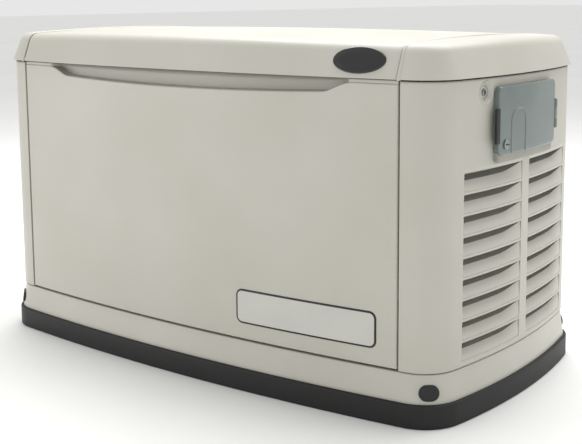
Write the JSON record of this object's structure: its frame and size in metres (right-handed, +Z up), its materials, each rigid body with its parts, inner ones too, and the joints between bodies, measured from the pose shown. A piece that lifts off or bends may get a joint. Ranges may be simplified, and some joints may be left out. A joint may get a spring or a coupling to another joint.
{
  "type": "home standby generator",
  "caption": "Home standby generator: bowed louvred enclosure with hinged lid, lift-off front door and breaker cover on a flat pad, with engine, alternator, exhaust and battery inside.",
  "frame": {"origin": "middle of the mounting pad's underside, on the ground", "axes": "+X along the front towards the breaker-cover end, -Y out of the front door, +Z up"},
  "size_m": [1.234, 0.6627, 0.702],
  "materials": {
    "beige_powder_coat": "powder coated, fine texture",
    "pad_composite": "moulded, matt black",
    "black_moulding": "moulded, matt",
    "nameplate_film": "satin film, blank",
    "badge_plastic": "domed gloss, blank",
    "lock_zinc": "die cast, satin",
    "bezel_plastic": "moulded, matt",
    "smoked_cover": "smoked translucent moulding",
    "zinc_sheet": "galvanised sheet",
    "breaker_bakelite": "moulded thermoset",
    "light_lens": "clear moulded lens",
    "chassis_paint": "black paint on steel",
    "isolator_rubber": "moulded",
    "cast_aluminium": "sand cast, bare",
    "fan_iron": "machined face",
    "shaft_steel": "ground",
    "winding_core": "laminated and varnished",
    "filter_paint": "gloss paint",
    "dipstick_plastic": "yellow moulding",
    "ceramic_lead": "boot",
    "exhaust_steel": "aluminised, heat stained",
    "battery_case": "moulded polypropylene",
    "control_plastic": "moulded, fine grain",
    "display_glass": "clear window over a grey-green display",
    "key_plastic": "moulded",
    "regulator_zinc": "die cast",
    "fuel_pipe": "black iron",
    "hose_rubber": "extruded"
  },
  "bodies": {
    "enclosure": {"mounting_pad": "pad_composite", "base_pan": "beige_powder_coat", "lifting_hole_plugs": "black_moulding", "intake_side_panel": "beige_powder_coat", "exhaust_side_panel": "beige_powder_coat", "rear_panel": "beige_powder_coat", "lock_housings": "lock_zinc", "breaker_bezel": "bezel_plastic", "breaker_box": "zinc_sheet", "main_breaker": "breaker_bakelite", "status_lights": "light_lens", "engine_rails": "chassis_paint", "rubber_isolators": "isolator_rubber", "crankcase": "cast_aluminium", "cylinders": "cast_aluminium", "cylinder_heads": "cast_aluminium", "rocker_covers": "zinc_sheet", "spark_plugs": "ceramic_lead", "air_box": "control_plastic", "intake_manifold": "cast_aluminium", "oil_filter": "filter_paint", "blower_housing": "chassis_paint", "starter_motor": "chassis_paint", "alternator_stator": "winding_core", "alternator_end_frames": "cast_aluminium", "exhaust_system": "exhaust_steel", "divider_panels": "zinc_sheet", "floor_brackets": "zinc_sheet", "battery": "battery_case", "battery_tray": "zinc_sheet", "control_box": "chassis_paint", "control_face": "control_plastic", "display_window": "display_glass", "fuel_regulator": "regulator_zinc", "fuel_inlet_pipe": "fuel_pipe", "conduit_hub": "lock_zinc", "fuel_hose": "hose_rubber"},
    "lid": {"lid_panel": "beige_powder_coat", "lid_end_cap_right": "beige_powder_coat", "lid_end_cap_left": "beige_powder_coat", "lid_badge": "badge_plastic", "lid_keepers": "zinc_sheet"},
    "front_door_body": {"front_door": "beige_powder_coat", "door_nameplate": "nameplate_film"},
    "right_lock": {"lock_rotor_right": "lock_zinc"},
    "left_lock": {"lock_rotor_left": "lock_zinc"},
    "breaker_cover_body": {"breaker_cover": "smoked_cover", "cover_pull_tab": "black_moulding"},
    "cover_latch_body": {"cover_latch": "lock_zinc"},
    "breaker_toggle": {"breaker_handle": "breaker_bakelite"},
    "rotating_group": {"crankshaft": "shaft_steel", "flywheel_fan": "fan_iron", "alternator_rotor": "winding_core"},
    "dipstick_body": {"dipstick": "dipstick_plastic"},
    "air_filter_lid": {"air_filter_cover": "control_plastic"},
    "key_escape_body": {"key_escape": "key_plastic"},
    "key_down_body": {"key_down": "key_plastic"},
    "key_up_body": {"key_up": "key_plastic"},
    "key_enter_body": {"key_enter": "key_plastic"},
    "mode_switch": {"mode_rocker": "black_moulding"}
  },
  "joints": [
    {"name": "lid_hinge", "type": "hinge", "parent": "enclosure", "child": "lid", "pos_m": [0, 0.3222, 0.6298], "axis": [-1, 0, 0], "range_deg": [0, 75]},
    {"name": "front_door_lift_off", "type": "slide", "parent": "enclosure", "child": "front_door_body", "axis": [0, -1, 0], "range_m": [0, 0.25]},
    {"name": "right_lock_turn", "type": "hinge", "parent": "enclosure", "child": "right_lock", "pos_m": [0.59605, -0.1348, 0.601], "axis": [0.994, -0.1094, 0], "range_deg": [0, 90]},
    {"name": "left_lock_turn", "type": "hinge", "parent": "enclosure", "child": "left_lock", "pos_m": [-0.59605, -0.1348, 0.601], "axis": [0.994, 0.1094, 0], "range_deg": [0, 90]},
    {"name": "breaker_cover_hinge", "type": "hinge", "parent": "enclosure", "child": "breaker_cover_body", "pos_m": [0.60971, 0.1345, 0.54], "axis": [0, 0, 1], "range_deg": [0, 110]},
    {"name": "cover_latch_turn", "type": "hinge", "parent": "breaker_cover_body", "child": "cover_latch_body", "pos_m": [0.61308, -0.0868, 0.502], "axis": [0.9974, -0.0725, 0], "range_deg": [0, 90]},
    {"name": "breaker_toggle", "type": "hinge", "parent": "enclosure", "child": "breaker_toggle", "pos_m": [0.565, 0.005, 0.545], "axis": [0, 1, 0], "range_deg": [0, 44]},
    {"name": "crankshaft_spin", "type": "hinge", "parent": "enclosure", "child": "rotating_group", "pos_m": [0, 0, 0.25], "axis": [1, 0, 0], "continuous": true},
    {"name": "dipstick_pull", "type": "slide", "parent": "enclosure", "child": "dipstick_body", "axis": [0, 0, 1], "range_m": [0, 0.17]},
    {"name": "air_filter_lid_lift", "type": "slide", "parent": "enclosure", "child": "air_filter_lid", "axis": [0, 0, 1], "range_m": [0, 0.05]},
    {"name": "key_escape_press", "type": "slide", "parent": "enclosure", "child": "key_escape_body", "axis": [0, 0, -1], "range_m": [0, 0.0015], "stiffness_N_per_m": 300},
    {"name": "key_down_press", "type": "slide", "parent": "enclosure", "child": "key_down_body", "axis": [0, 0, -1], "range_m": [0, 0.0015], "stiffness_N_per_m": 300},
    {"name": "key_up_press", "type": "slide", "parent": "enclosure", "child": "key_up_body", "axis": [0, 0, -1], "range_m": [0, 0.0015], "stiffness_N_per_m": 300},
    {"name": "key_enter_press", "type": "slide", "parent": "enclosure", "child": "key_enter_body", "axis": [0, 0, -1], "range_m": [0, 0.0015], "stiffness_N_per_m": 300},
    {"name": "mode_rocker_tilt", "type": "hinge", "parent": "enclosure", "child": "mode_switch", "pos_m": [0.434, -0.115, 0.562], "axis": [1, 0, 0], "range_deg": [-12, 12]}
  ]
}
